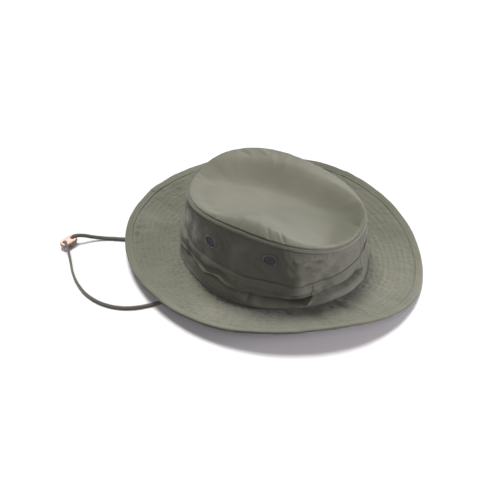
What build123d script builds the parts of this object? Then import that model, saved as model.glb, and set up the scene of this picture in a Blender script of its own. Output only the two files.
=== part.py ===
from build123d import *
import math
import os

# A boonie hat lying on its sweatband: +X is the wearer's left, -Y the front, +Z up.
# Sizes are in millimetres. Angles run round the crown from +X towards +Y, the back.

# Where the crown's axis stands, so that the brim's box is centred on the origin.
crown_axis_x, crown_axis_y = -1.9, -0.4

# Crown opening: the oval seam where the brim meets the side. Head size 58 cm.
base_half_width, base_half_length, base_power = 85.3, 102.9, 1.9
base_height, base_height_waves = 5.4, ((0, 0), (-2.7, 1.0))

# Crown top: the seam round the top, softer and lower at the back right.
top_half_width, top_half_length, top_power = 80.4, 92.8, 2.2
top_shift_x, top_shift_y, top_twist = 3.8, 5.1, math.radians(-2.8)
top_height, top_tilt_x, top_tilt_y = 82.7, 10.1, -7.3
top_height_waves = ((0, 0), (4.3, 2.6), (1.7, -0.5))
top_sag, top_sag_lean = 10.0, 0.5
side_bulge = 1.5

# Brim: its width from the crown seam to the bound edge, and its slope round the hat.
brim_width = 59.0
brim_slope, brim_slope_waves = 14.9, ((-1.9, -0.9), (8.7, 4.0), (-2.9, 3.3), (-1.2, -1.7))

# Cloth and its layers.
cloth = 0.7
layer_gap = 0.15
top_seam_gap = 0.4
interlining_thickness = 0.5
binding_width, binding_thickness = 6.5, 0.6

# Foliage band: 1 in webbing whose top edge is at this share of the side's height.
band_width, band_thickness, band_flare = 25.4, 1.2, 2.2
band_top_share, band_top_waves = 0.46, ((0, 0.035), (-0.007, 0), (0, -0.033))
tack_angles = [math.radians(angle) for angle in range(0, 360, 45)]
tack_width, tack_thickness = 1.6, 0.6

# Sweatband.
sweatband_height, sweatband_thickness, sweatband_inset = 34.0, 1.1, 1.3
label_width, label_height, label_thickness, label_foot = 34.0, 18.0, 0.4, 9.0

# Vents: four eyelets with mesh screens, two on each side, the back ones a little higher.
vent_angles = {"front_left": -20, "back_left": 20, "front_right": 200, "back_right": 160}
vent_rise = {"front_left": -2.6, "back_left": 2.6, "front_right": -2.6, "back_right": 2.6}
vent_flange_radius, vent_flange_thickness = 7.5, 1.0
vent_barrel_radius, vent_bore_radius, vent_barrel_length = 6.6, 6.0, 4.2
vent_screen_thickness = 0.4
vent_washer_radius, vent_washer_thickness = 8.4, 0.5

# Chin cord and its slider.
cord_diameter = 3.3
cord_route = [
    (101.0, 0.0, 3.6),
    (101.0, -13.0, 3.6),
    (103.0, -29.0, 1.7),
    (103.5, -47.0, 1.7),
    (109.5, -63.5, 1.7),
    (125.0, -77.5, 1.7),
    (138.3, -92.0, 1.7),
    (145.8, -109.0, 1.7),
    (147.3, -127.5, 1.7),
    (142.8, -146.0, 1.7),
    (132.5, -162.5, 1.7),
    (119.5, -176.5, 1.7),
    (105.5, -187.5, 3.6),
    (94.5, -196.8, 9.0),
    (87.2, -205.3, 10.3),
    (87.2, -205.3, 1.7),
    (77.0, -202.3, 1.7),
    (77.0, -202.3, 10.3),
    (70.0, -194.0, 9.2),
    (62.0, -183.5, 4.0),
    (54.0, -169.0, 1.7),
    (47.5, -150.5, 1.7),
    (37.0, -133.5, 1.7),
    (17.0, -125.0, 1.7),
    (-9.0, -124.5, 1.7),
    (-38.0, -119.0, 1.7),
    (-66.0, -107.0, 1.7),
    (-88.0, -86.0, 1.7),
    (-102.0, -60.0, 1.7),
    (-106.0, -36.0, 1.7),
    (-101.0, -14.0, 4.8),
    (-101.0, 0.0, 4.8),
]
slider_length, slider_width, slider_thickness = 20.0, 11.0, 4.4
slider_corner, slider_edge = 4.5, 1.2
slider_x, slider_y, slider_z, slider_turn = 82.1, -203.8, 5.9, -16.5
slider_hole_spacing, slider_hole_radius, slider_hole_rounding = 10.6, 2.2, 0.8
tab_length, tab_width, tab_height, tab_clearance = 12.0, 6.4, 4.2, 0.1

ring_points = 24


def wave(angle, mean, harmonics):
    """A mean value with a cosine and a sine share of each harmonic of the angle."""
    shares = enumerate(harmonics, start=1)
    return mean + sum(c * math.cos(k * angle) + s * math.sin(k * angle) for k, (c, s) in shares)


def oval(angle, half_width, half_length, power):
    """A point on an oval between an ellipse and a rounded rectangle."""
    c, s = math.cos(angle), math.sin(angle)
    reach = (abs(c) ** power + abs(s) ** power) ** (-1 / power)
    return half_width * c * reach, half_length * s * reach


def outward(angle):
    """The level direction away from the crown's side at this angle."""
    x, y = math.cos(angle) / base_half_width, math.sin(angle) / base_half_length
    length = math.hypot(x, y)
    return x / length, y / length


def base_seam(angle):
    x, y = oval(angle, base_half_width, base_half_length, base_power)
    height = wave(angle, base_height, base_height_waves)
    return Vector(crown_axis_x + x, crown_axis_y + y, height)


def top_point(angle, share):
    """A point of the crown's top: share 0 is its middle and 1 its seam. It sags most at the right."""
    x, y = oval(angle, top_half_width * share, top_half_length * share, top_power)
    turned_x = x * math.cos(top_twist) - y * math.sin(top_twist)
    turned_y = x * math.sin(top_twist) + y * math.cos(top_twist)
    tilt = top_tilt_x * x / top_half_width + top_tilt_y * y / top_half_length
    ripple = wave(angle, 0, top_height_waves) * (max(0, share - 0.2) / 0.8) ** 2
    sag = top_sag * (1 - share**2) * (1 - top_sag_lean * x / top_half_width)
    height = top_height - sag + tilt + ripple
    return Vector(
        crown_axis_x + top_shift_x + turned_x, crown_axis_y + top_shift_y + turned_y, height
    )


def side_point(angle, share, inset=0.0):
    """A point of the crown's side: share 0 is the brim's seam and 1 the top's seam."""
    low, high = base_seam(angle), top_point(angle, 1)
    x, y = outward(angle)
    out = side_bulge * math.sin(math.pi * min(max(share, 0), 1)) - inset
    return low + (high - low) * share + Vector(x * out, y * out, 0)


def brim_point(angle, distance, drop=0.0):
    """A point of the brim: distance along the cloth from the crown's seam."""
    x, y = outward(angle)
    slope = math.radians(wave(angle, brim_slope, brim_slope_waves))
    level = distance * math.cos(slope)
    return base_seam(angle) + Vector(x * level, y * level, distance * math.sin(slope) - drop)


def closed_curve(point_at):
    """A smooth closed curve through point_at(angle), its knots evenly spaced."""
    angles = [2 * math.pi * i / ring_points for i in range(ring_points)]
    knots = [i / ring_points for i in range(ring_points + 1)]
    return Edge.make_spline([point_at(a) for a in angles], periodic=True, parameters=knots)


def ring(profile):
    """A closed ring whose section's corners follow these functions of the angle."""
    curves = [closed_curve(point_at) for point_at in profile]
    pairs = zip(curves, curves[1:] + curves[:1])
    faces = [Face.make_surface_from_curves(first, second) for first, second in pairs]
    return closed_solid(faces)


def closed_solid(faces):
    body = Solid(Shell(faces))
    return body if body.volume > 0 else Solid(body.wrapped.Reversed())


def crown_top():
    """The oval top panel, sagging inside its seam."""
    shares = (1.0, 0.8, 0.6, 0.4, 0.2)
    upper = [closed_curve(lambda a, s=s: top_point(a, s) + Vector(0, 0, cloth)) for s in shares]
    lower = [closed_curve(lambda a, s=s: top_point(a, s)) for s in shares]
    faces = [Face.make_surface_from_curves(*pair) for pair in zip(upper, upper[1:])]
    faces += [Face.make_surface_from_curves(*pair) for pair in zip(lower, lower[1:])]
    faces.append(Face.make_surface_from_curves(upper[0], lower[0]))
    faces += [Face(Wire([upper[-1]])), Face(Wire([lower[-1]]))]
    return closed_solid(faces)


def crown_side():
    """The side panel as one closed ring, which the front and back seams divide."""
    shares = (0.0, 0.33, 0.67, 1 - top_seam_gap / top_height)
    outer = [lambda a, s=s: side_point(a, s) for s in shares]
    inner = [lambda a, s=s: side_point(a, s, cloth) for s in shares]
    return ring(outer + inner[::-1])


def crown_side_panels():
    """The left and right panels, parted by the seams, with a hole for each vent."""
    panels = crown_side()
    seam = Box(2 * layer_gap, 4 * base_half_length, 4 * top_height)
    panels -= Pos(crown_axis_x, crown_axis_y, 0) * seam
    for place in vent_angles:
        panels -= vent_plane(place) * Cylinder(vent_barrel_radius + layer_gap, 20)
    return {
        "crown_side_left": panels.solids().sort_by(Axis.X)[-1],
        "crown_side_right": panels.solids().sort_by(Axis.X)[0],
    }


def band_top(angle):
    return wave(angle, band_top_share, band_top_waves)


def vent_plane(place):
    """The vent's plane on the side, about midway between the foliage band and the top seam."""
    angle, step = math.radians(vent_angles[place]), 0.01
    share = (1 + band_top(angle)) / 2 + vent_rise[place] / top_height
    along = side_point(angle + step, share) - side_point(angle - step, share)
    up = side_point(angle, share + step) - side_point(angle, share - step)
    return Plane(origin=side_point(angle, share), x_dir=along, z_dir=along.cross(up))


def vent(plane):
    """One eyelet with its rolled flange, the mesh screen in it and the washer inside."""
    flange = Cylinder(vent_flange_radius, vent_flange_thickness)
    flange = fillet(flange.edges().sort_by(Axis.Z)[-1], 0.6)
    eyelet = Pos(0, 0, layer_gap + vent_flange_thickness / 2) * flange
    barrel_z = layer_gap + vent_flange_thickness - vent_barrel_length / 2
    eyelet += Pos(0, 0, barrel_z) * Cylinder(vent_barrel_radius, vent_barrel_length)
    eyelet -= Cylinder(vent_bore_radius, 20)
    screen = Cylinder(vent_bore_radius - layer_gap, vent_screen_thickness)
    washer = Cylinder(vent_washer_radius, vent_washer_thickness)
    washer -= Cylinder(vent_barrel_radius + layer_gap, 20)
    washer_z = -cloth - 0.5 - vent_washer_thickness
    return {
        "eyelet": plane * eyelet,
        "screen": plane * screen,
        "washer": plane * Pos(0, 0, washer_z) * washer,
    }


def brim_layer(top_drop, thickness, start, width):
    """One flat layer of the brim, top_drop below its upper face."""
    return ring(
        [
            lambda a: brim_point(a, start, top_drop),
            lambda a: brim_point(a, width, top_drop),
            lambda a: brim_point(a, width, top_drop + thickness),
            lambda a: brim_point(a, start, top_drop + thickness),
        ]
    )


def brim():
    """The upper cloth, the interlining and the lower cloth, each clear of the next."""
    width = brim_width - binding_thickness - layer_gap
    middle_drop = cloth + layer_gap
    lower_drop = middle_drop + interlining_thickness + layer_gap
    return {
        "brim_upper": brim_layer(0, cloth, 1.0, width),
        "brim_interlining": brim_layer(middle_drop, interlining_thickness, 6.0, width - 3),
        "brim_lower": brim_layer(lower_drop, cloth, 0.0, width),
    }


def brim_stack():
    return 2 * cloth + interlining_thickness + 2 * layer_gap


def brim_binding():
    """The tape folded over the brim's edge, a U in section."""
    inner, reach = brim_width - binding_width, brim_width - binding_thickness
    under = brim_stack() + layer_gap
    return ring(
        [
            lambda a: brim_point(a, inner, -layer_gap - binding_thickness),
            lambda a: brim_point(a, brim_width - 0.3, -layer_gap - binding_thickness),
            lambda a: brim_point(a, brim_width, brim_stack() / 2),
            lambda a: brim_point(a, brim_width - 0.3, under + binding_thickness),
            lambda a: brim_point(a, inner, under + binding_thickness),
            lambda a: brim_point(a, inner, under),
            lambda a: brim_point(a, reach, under),
            lambda a: brim_point(a, reach, -layer_gap),
            lambda a: brim_point(a, inner, -layer_gap),
        ]
    )


def band_point(angle, drop, out):
    """A point of the foliage band, drop below its top edge, which stands off lower down."""
    share = band_top(angle) - drop / (side_point(angle, 1).Z - side_point(angle, 0).Z)
    flare = band_flare * (drop / band_width) ** 2
    return side_point(angle, share, -layer_gap - flare - out)


def band_ring(drops, near, far):
    """A ring on the foliage band between two distances off its inner face."""
    outer = [lambda a, d=d: band_point(a, d, far) for d in drops]
    inner = [lambda a, d=d: band_point(a, d, near) for d in drops]
    return ring(outer + inner[::-1])


def foliage_band():
    return band_ring([band_width * share for share in (0, 0.33, 0.67, 1)], 0, band_thickness)


def band_tacks():
    """The upright bar tacks that divide the foliage band into loops."""
    near = band_thickness + 2 * layer_gap
    bars = band_ring([2, band_width / 2, band_width - 2], near, near + tack_thickness)
    tacks = []
    for angle in tack_angles:
        place = Plane(origin=band_point(angle, band_width / 2, 0), x_dir=(*outward(angle), 0))
        tacks += (bars & place * Box(30, tack_width, 60)).solids()
    return Compound(tacks)


def sweatband_point(angle, share, inset):
    """A point of the sweatband: share 0 is its flat foot and 1 its upper edge."""
    inset += sweatband_inset + cloth
    foot = side_point(angle, 0, inset)
    foot.Z = 0
    return foot + (side_point(angle, sweatband_height / top_height, inset) - foot) * share


def sweatband():
    """The band inside the crown, whose flat lower edge the hat rests on."""
    outer_foot = closed_curve(lambda a: sweatband_point(a, 0, 0))
    outer_top = closed_curve(lambda a: sweatband_point(a, 1, 0))
    inner_foot = closed_curve(lambda a: sweatband_point(a, 0, sweatband_thickness))
    inner_top = closed_curve(lambda a: sweatband_point(a, 1, sweatband_thickness))
    faces = [
        Face(Wire([outer_foot]), [Wire([inner_foot])]),
        Face.make_surface_from_curves(outer_foot, outer_top),
        Face.make_surface_from_curves(outer_top, inner_top),
        Face.make_surface_from_curves(inner_top, inner_foot),
    ]
    return closed_solid(faces)


def inner_label():
    """A blank label on the sweatband's inner face at the back."""
    low, high = label_foot / sweatband_height, (label_foot + label_height) / sweatband_height
    near = sweatband_thickness + layer_gap
    far = near + label_thickness
    strip = ring(
        [
            lambda a: sweatband_point(a, low, near),
            lambda a: sweatband_point(a, high, near),
            lambda a: sweatband_point(a, high, far),
            lambda a: sweatband_point(a, low, far),
        ]
    )
    return strip & Pos(crown_axis_x, base_half_length, 0) * Box(label_width, 60, 200)


def cord_radii():
    """The largest radius that each corner of the cord's route has room for."""
    route = [Vector(*point) for point in cord_route]
    radii = []
    for before, corner, after in zip(route, route[1:], route[2:]):
        run = min((corner - before).length, (after - corner).length)
        turn = (corner - before).get_angle(after - corner)
        radii.append(0.45 * run / math.tan(math.radians(turn) / 2))
        print(f"corner turns {turn:.0f} degrees, radius {radii[-1]:.1f} mm")
    return radii


def chin_cord():
    path = FilletPolyline(*cord_route, radius=cord_radii())
    start = Plane(origin=path @ 0, z_dir=path % 0)
    cord = sweep(start * Circle(cord_diameter / 2), path=path)
    section = math.pi * cord_diameter**2 / 4
    print(f"cord length {path.length:.1f} mm, volume share {cord.volume / section / path.length:.4f}")
    return cord


def cord_slider():
    """A rounded leather bar with two holes, lying on the cord's bight."""
    bar = Box(slider_length, slider_width, slider_thickness)
    bar = fillet(bar.edges().filter_by(Axis.Z), slider_corner)
    bar = fillet(bar.faces().filter_by(Axis.Z).edges(), slider_edge)
    for side in (-0.5, 0.5):
        bar -= Pos(side * slider_hole_spacing, 0, 0) * Cylinder(slider_hole_radius, 20)
    rims = bar.edges().filter_by(GeomType.CIRCLE).filter_by(
        lambda e: abs(e.radius - slider_hole_radius) < 0.01
    )
    bar = fillet(rims, slider_hole_rounding)
    return Pos(slider_x, slider_y, slider_z) * Rot(0, 0, slider_turn) * bar


def cord_tab(end, slope):
    """A folded cloth tab under the brim that holds one end of the cord."""
    tab = Box(tab_width, tab_length, tab_height)
    tab = fillet(tab.edges().filter_by(Axis.Y), 1.2)
    tab -= Rot(90, 0, 0) * Cylinder(cord_diameter / 2 + tab_clearance, 2 * tab_length)
    return Pos(*end) * Rot(0, slope, 0) * tab


def cord_tabs():
    left = wave(0, brim_slope, brim_slope_waves)
    right = wave(math.pi, brim_slope, brim_slope_waves)
    return {
        "cord_tab_left": cord_tab(cord_route[0], -left),
        "cord_tab_right": cord_tab(cord_route[-1], right),
    }


def vents():
    nodes = {}
    for place in vent_angles:
        for piece, shape in vent(vent_plane(place)).items():
            nodes[f"vent_{piece}_{place}"] = shape
    return nodes


def main():
    nodes = {
        "crown_top": crown_top(),
        **crown_side_panels(),
        **brim(),
        "brim_binding": brim_binding(),
        "foliage_band": foliage_band(),
        "band_tacks": band_tacks(),
        "sweatband": sweatband(),
        "inner_label": inner_label(),
        **vents(),
        "chin_cord": chin_cord(),
        "cord_slider": cord_slider(),
        **cord_tabs(),
    }
    os.makedirs("parts", exist_ok=True)
    for name, shape in nodes.items():
        export_step(shape, f"parts/{name}.step")


main()
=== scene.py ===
"""A boonie hat lying on its sweatband, front to the left, with its chin cord on the floor.

Everything is in metres in the CAD model's frame: +X is the wearer's left, -Y the front, +Z up.
Angles run round the crown from +X towards +Y, the back.
"""

import math

import bmesh
import bpy
import numpy as np
from mathutils import Matrix, Vector, noise


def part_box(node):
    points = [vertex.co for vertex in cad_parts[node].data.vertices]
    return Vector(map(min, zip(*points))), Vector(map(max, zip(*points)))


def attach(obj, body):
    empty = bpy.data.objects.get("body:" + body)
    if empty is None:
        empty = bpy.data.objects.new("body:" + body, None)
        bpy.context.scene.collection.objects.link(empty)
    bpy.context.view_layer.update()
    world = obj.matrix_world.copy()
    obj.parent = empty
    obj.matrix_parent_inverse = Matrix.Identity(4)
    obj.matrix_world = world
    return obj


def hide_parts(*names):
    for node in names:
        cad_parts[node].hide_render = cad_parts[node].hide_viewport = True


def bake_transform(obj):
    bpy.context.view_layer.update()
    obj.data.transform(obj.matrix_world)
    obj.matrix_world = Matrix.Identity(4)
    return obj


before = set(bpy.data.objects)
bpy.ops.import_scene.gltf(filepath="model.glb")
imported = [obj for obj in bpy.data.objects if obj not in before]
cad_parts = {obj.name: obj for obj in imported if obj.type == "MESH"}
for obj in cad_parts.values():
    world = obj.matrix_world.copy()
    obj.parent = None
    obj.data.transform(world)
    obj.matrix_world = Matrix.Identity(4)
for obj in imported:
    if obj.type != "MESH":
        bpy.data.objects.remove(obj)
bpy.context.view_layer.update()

MM = 0.001
TAU = 2 * math.pi
DEG = math.pi / 180

CAMERA_LENS = 99.4
CAMERA_TARGET = Vector((0.0182, -0.0295, 0.0263))
CAMERA_AZIMUTH, CAMERA_RISE, CAMERA_ROLL = 115.75, 40.9, 0.67
CAMERA_DISTANCE = 1.402
LAMP_TARGET = Vector((0, 0, 0.03))
LAMP_DISTANCE = 1.6
FLOOR_RADIUS, BACKDROP_RADIUS, BACKDROP_HEIGHT = 9.0, 8.9, 6.0


def set_inputs(node, values):
    for key, value in values.items():
        node.inputs[key].default_value = value


def new_object(name, data):
    """An object that holds data, linked into the scene."""
    obj = bpy.data.objects.new(name, data)
    bpy.context.scene.collection.objects.link(obj)
    return obj


# ---- camera, light and floor

def aim(obj, place, target, roll=0.0):
    """Puts a camera or lamp at place, looking at target."""
    forward = (target - place).normalized()
    right = forward.cross(Vector((0, 0, 1))).normalized()
    up = right.cross(forward)
    turned_right = right * math.cos(roll) + up * math.sin(roll)
    turned_up = up * math.cos(roll) - right * math.sin(roll)
    axes = Matrix((turned_right, turned_up, -forward)).transposed().to_4x4()
    obj.matrix_world = Matrix.Translation(place) @ axes


def from_above(azimuth, elevation, distance, target):
    """The place that sees target from this azimuth and elevation, both in degrees."""
    turn, rise = azimuth * DEG, elevation * DEG
    level = math.cos(rise)
    away = Vector((math.sin(turn) * level, -math.cos(turn) * level, math.sin(rise)))
    return target + away * distance


def make_camera():
    data = bpy.data.cameras.new("camera")
    data.lens = CAMERA_LENS
    data.sensor_width = 36
    camera = new_object("camera", data)
    place = from_above(CAMERA_AZIMUTH, CAMERA_RISE, CAMERA_DISTANCE, CAMERA_TARGET)
    aim(camera, place, CAMERA_TARGET, CAMERA_ROLL * DEG)
    bpy.context.scene.camera = camera


def soft_lamp(kind, name, azimuth, elevation, strength, colour, **softness):
    """A lamp aimed at the crown; softness is a sun's angle or an area lamp's size."""
    data = bpy.data.lights.new(name, kind)
    data.energy, data.color = strength, colour
    for key, value in softness.items():
        setattr(data, key, value)
    place = from_above(azimuth, elevation, LAMP_DISTANCE, LAMP_TARGET)
    aim(new_object(name, data), place, LAMP_TARGET)


def stage_disc(name, radius, height, looks):
    """A round floor, or a round wall up to height, that lights nothing and shades nothing."""
    sides = 96
    turns = np.arange(sides) * TAU / sides
    points = [(radius * math.cos(turn), radius * math.sin(turn), 0) for turn in turns]
    faces = [tuple(range(sides))]
    if height:
        points += [(x, y, height) for x, y, _ in points]
        faces = [(k, (k + 1) % sides, sides + (k + 1) % sides, sides + k) for k in range(sides)]
    mesh = bpy.data.meshes.new(name)
    mesh.from_pydata(points, [], faces)
    paint = bpy.data.materials.new(name + "_paper")
    paint.use_nodes = True
    set_inputs(paint.node_tree.nodes["Principled BSDF"], looks)
    mesh.materials.append(paint)
    obj = new_object(name, mesh)
    obj.visible_diffuse = False
    obj.visible_shadow = False


def make_stage():
    """A plain pale floor and soft studio light, strongest from above and behind."""
    scene = bpy.context.scene
    scene.view_settings.view_transform = "Standard"
    scene.world = bpy.data.worlds.new("studio")
    scene.world.use_nodes = True
    glow = {"Color": (1.0, 0.93, 1.0, 1), "Strength": 0.14}
    set_inputs(scene.world.node_tree.nodes["Background"], glow)
    soft_lamp("SUN", "key_light", 322, 70, 3.35, (1.0, 1.0, 0.97), angle=24 * DEG)
    soft_lamp("SUN", "fill_light", 98, 46, 0.42, (1.0, 0.93, 1.0), angle=24 * DEG)
    soft_lamp("AREA", "side_light", 196, 10, 22, (0.97, 0.93, 1.0), size=0.5)
    paper = {"Base Color": (0.9, 0.9, 0.9, 1), "Roughness": 0.9}
    stage_disc("floor", FLOOR_RADIUS, 0.0, paper)
    white = {"Emission Color": (1, 1, 1, 1), "Emission Strength": 1.0}
    stage_disc("backdrop", BACKDROP_RADIUS, BACKDROP_HEIGHT, white)


make_camera()
make_stage()


# ---- rings read from the frame

def node_points(name):
    return np.array([vertex.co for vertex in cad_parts[name].data.vertices])


def cut_at(first, second, angle):
    """Where edges cross the upright half plane at this angle: distances and heights."""
    c, s = math.cos(angle), math.sin(angle)
    side_a, side_b = first @ (-s, c, 0), second @ (-s, c, 0)
    crossed = side_a * side_b < 0
    a, b = first[crossed], second[crossed]
    share = (side_a[crossed] / (side_a[crossed] - side_b[crossed]))[:, None]
    cut = a + (b - a) * share
    reach = cut @ (c, s, 0)
    return reach[reach > 0], cut[reach > 0, 2]


STATIONS = 180
PHASE = 0.37  # a share of a station, which keeps the cuts off the CAD's own points


def unit(vectors):
    return vectors / np.linalg.norm(vectors, axis=-1)[..., None]


def run_along(line):
    """The length of a line from its start to each of its points."""
    return np.concatenate([[0], np.cumsum(np.linalg.norm(np.diff(line, axis=0), axis=1))])


class Ring:
    """A closed curve round the crown, read at even angles and smoothed between them."""

    def __init__(self, node_name, pick):
        points = node_points(node_name) - (AXIS[0], AXIS[1], 0)
        edges = [edge.vertices[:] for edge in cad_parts[node_name].data.edges]
        first, second = points[np.array(edges)].transpose(1, 0, 2)
        angles = (np.arange(STATIONS) + PHASE) * TAU / STATIONS
        rows = [pick(*cut_at(first, second, angle)) for angle in angles]
        kernel = np.array([1, 2, 3, 2, 1]) / 9
        wide = np.array(rows[-2:] + rows + rows[:2])
        self.rows = np.stack([np.convolve(column, kernel, "valid") for column in wide.T], -1)

    def at(self, angle):
        """Distances from the axis and heights at these angles."""
        place = (np.asarray(angle) / TAU * STATIONS - PHASE) % STATIONS
        low = np.floor(place).astype(int) % STATIONS
        share = (place - np.floor(place))[..., None]
        both = self.rows[low] * (1 - share) + self.rows[(low + 1) % STATIONS] * share
        return both[..., 0], both[..., 1]


NEAR = 0.3 * MM


def innermost(reach, height):
    near = reach < reach.min() + NEAR
    return reach[near].min(), height[near].max()


def outermost(reach, height):
    i = reach.argmax()
    return reach[i], height[i]


def highest(reach, height):
    top = height > height.max() - NEAR
    return reach[top].max(), height[top].max()


def lowest_outer(reach, height):
    foot = height < height.min() + NEAR
    return reach[foot].max(), height[foot].min()


AXIS = np.mean(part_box("sweatband"), axis=0)
base_ring = Ring("brim_upper", innermost)
edge_ring = Ring("brim_binding", outermost)
top_ring = Ring("crown_top", outermost)
band_ring = Ring("foliage_band", highest)


# ---- mesh helpers

def to_object(name, points, faces, material):
    mesh = bpy.data.meshes.new(name)
    mesh.from_pydata([tuple(p) for p in points], [], [tuple(f) for f in faces])
    mesh.polygons.foreach_set("use_smooth", [True] * len(mesh.polygons))
    mesh.materials.append(material)
    return new_object(name, mesh)


def grid_faces(rows, columns, closed=True):
    """Quads of a grid whose columns run round the crown."""
    faces = []
    for r in range(rows - 1):
        here, above = r * columns, (r + 1) * columns
        for c in range(columns if closed else columns - 1):
            n = (c + 1) % columns
            faces.append((here + c, here + n, above + n, above + c))
    return faces


def cloth_attribute(obj, coords):
    """Keeps each point's place on the flat cloth, in metres, for the weave."""
    layer = obj.data.attributes.new("cloth", "FLOAT_VECTOR", "POINT")
    layer.data.foreach_set("vector", np.asarray(coords, np.float32).ravel())


def edit_mesh(obj, change):
    mesh = bmesh.new()
    mesh.from_mesh(obj.data)
    change(mesh)
    mesh.to_mesh(obj.data)
    mesh.free()


def weld(obj):
    """Joins points that meet, as in the middle of the top."""
    edit_mesh(obj, lambda m: bmesh.ops.remove_doubles(m, verts=m.verts, dist=0.01 * MM))


def outward_faces(obj):
    edit_mesh(obj, lambda m: bmesh.ops.recalc_face_normals(m, faces=m.faces))


def thicken(obj, thickness, offset=-1.0):
    modifier = obj.modifiers.new("thickness", "SOLIDIFY")
    modifier.thickness = thickness
    modifier.offset = offset
    graph = bpy.context.evaluated_depsgraph_get()
    mesh = bpy.data.meshes.new_from_object(obj.evaluated_get(graph))
    mesh.name = obj.data.name + "_final"
    obj.modifiers.clear()
    obj.data = mesh


def revolve(name, profile, vent, material, steps=72):
    """A ring turned about a vent's axis, from (radius, height off the seat) places in mm."""
    turns = np.arange(steps) * TAU / steps
    radius, rise = np.array(profile).T * MM
    level = np.cos(turns)[:, None] * vent.along + np.sin(turns)[:, None] * vent.up
    points = vent.seat + radius[:, None, None] * level + rise[:, None, None] * vent.axis
    faces = grid_faces(len(profile), steps)
    last = (len(profile) - 1) * steps
    faces += [(last + c, last + (c + 1) % steps, (c + 1) % steps, c) for c in range(steps)]
    obj = to_object(name, points.reshape(-1, 3), faces, material)
    outward_faces(obj)
    return obj


def tube(name, line, wide, high, material, sides, lean, relief):
    """A closed tube along a line. Its section is wide across by high, turned towards lean."""
    ahead = unit(np.gradient(line, axis=0))
    lean = np.array(lean)
    across = np.empty_like(line)
    held = lean
    for i, forward in enumerate(ahead):
        wanted = lean - forward * (forward @ lean)
        held = unit(unit(held - forward * (forward @ held)) + LEAN_PULL * wanted)
        across[i] = held
    up = np.cross(ahead, across)
    turns = np.arange(sides) * TAU / sides
    swell = 1 + relief(run_along(line)[:, None], turns[None])
    part_a = (wide / 2 * np.cos(turns) * swell)[..., None] * across[:, None]
    part_b = (high / 2 * np.sin(turns) * swell)[..., None] * up[:, None]
    points = (line[:, None] + part_a + part_b).reshape(-1, 3)
    faces = grid_faces(len(line), sides)
    faces.append(tuple(range(sides)))
    faces.append(tuple(range(len(points) - sides, len(points)))[::-1])
    obj = to_object(name, points, faces, material)
    outward_faces(obj)
    return obj


def stitch_rows(name, rows, material, length=2.3 * MM, radius=0.3 * MM):
    """Threads lying on cloth, all in one piece. A row is centres, ways along it and ways up."""
    centres, along, up = (np.concatenate(part) for part in zip(*rows))
    across = np.cross(up, along)
    sides = 6
    share = np.linspace(-1, 1, 6)
    turns = np.arange(sides) * TAU / sides
    thick = radius * np.sqrt(np.clip(1.08 - share**4, 0.06, 1))
    arch = radius * (0.7 - 1.3 * share**4)
    run = np.repeat(share * length / 2, sides)
    width = (thick[:, None] * np.cos(turns)).ravel()
    rise = (thick[:, None] * np.sin(turns) + arch[:, None]).ravel()
    parts = zip((run, width, rise), (along, across, up))
    points = centres[:, None] + sum(size[None, :, None] * way[:, None] for size, way in parts)
    one = np.array(grid_faces(len(share), sides))
    faces = (one[None] + np.arange(len(centres))[:, None, None] * len(run)).reshape(-1, 4)
    ends = np.array([range(sides - 1, -1, -1), range(len(run) - sides, len(run))])
    caps = (ends[None] + np.arange(len(centres))[:, None, None] * len(run)).reshape(-1, sides)
    return to_object(name, points.reshape(-1, 3), faces.tolist() + caps.tolist(), material)


def row_on(shape, line, pitch=2.9 * MM, side=1):
    """Even stitch places along line(t), t from 0 to 1, on shape(angle, other)."""
    fine = np.linspace(0, 1, 1500)
    track = shape(*line(fine))
    run = run_along(track)
    count = max(1, int(run[-1] / pitch))
    marks = np.interp((np.arange(count) + 0.5) * run[-1] / count, run, fine)
    angle, other = line(marks)
    small = 0.0005
    around = shape(angle + small, other) - shape(angle - small, other)
    away = shape(angle, other + small) - shape(angle, other - small)
    nudge = 0.3 / count
    along = unit(shape(*line(marks + nudge)) - shape(*line(marks - nudge)))
    up = unit(np.cross(around, away)) * side
    return shape(angle, other), along, unit(up - along * (up * along).sum(-1)[..., None])


def ring_line(other):
    """A stitch line that runs round the crown at this place on a shape."""
    def line(t):
        angle = t * TAU
        return angle, other(angle) if callable(other) else np.full_like(angle, other)
    return line


def cross_line(degrees, low, high):
    """A stitch line up or across a shape at one angle."""
    def line(t):
        return np.full_like(t, degrees * DEG), low + (high - low) * t
    return line


def perlin(points, scale, seed=0.0):
    """Smooth noise from -1 to 1 at each point."""
    shift = Vector((seed * 3.7, seed * 1.9, seed * 5.3))
    flat = np.asarray(points).reshape(-1, 3) * scale
    values = [noise.noise(Vector(p) + shift) for p in flat]
    return np.array(values).reshape(np.shape(points)[:-1])


def round_noise(angle, other, turns, seed=0.0):
    """Noise that closes on itself round the crown: turns sets how fine it is."""
    angle, other = np.broadcast_arrays(angle, other)
    points = np.stack([np.cos(angle) * turns, np.sin(angle) * turns, other], -1)
    return perlin(points, 1.0, seed)


def noise_sum(angle, *layers):
    """Several round noises, each given by its height and then as round_noise takes it."""
    return sum(height * round_noise(angle, *rest) for height, *rest in layers)


# ---- materials

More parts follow.
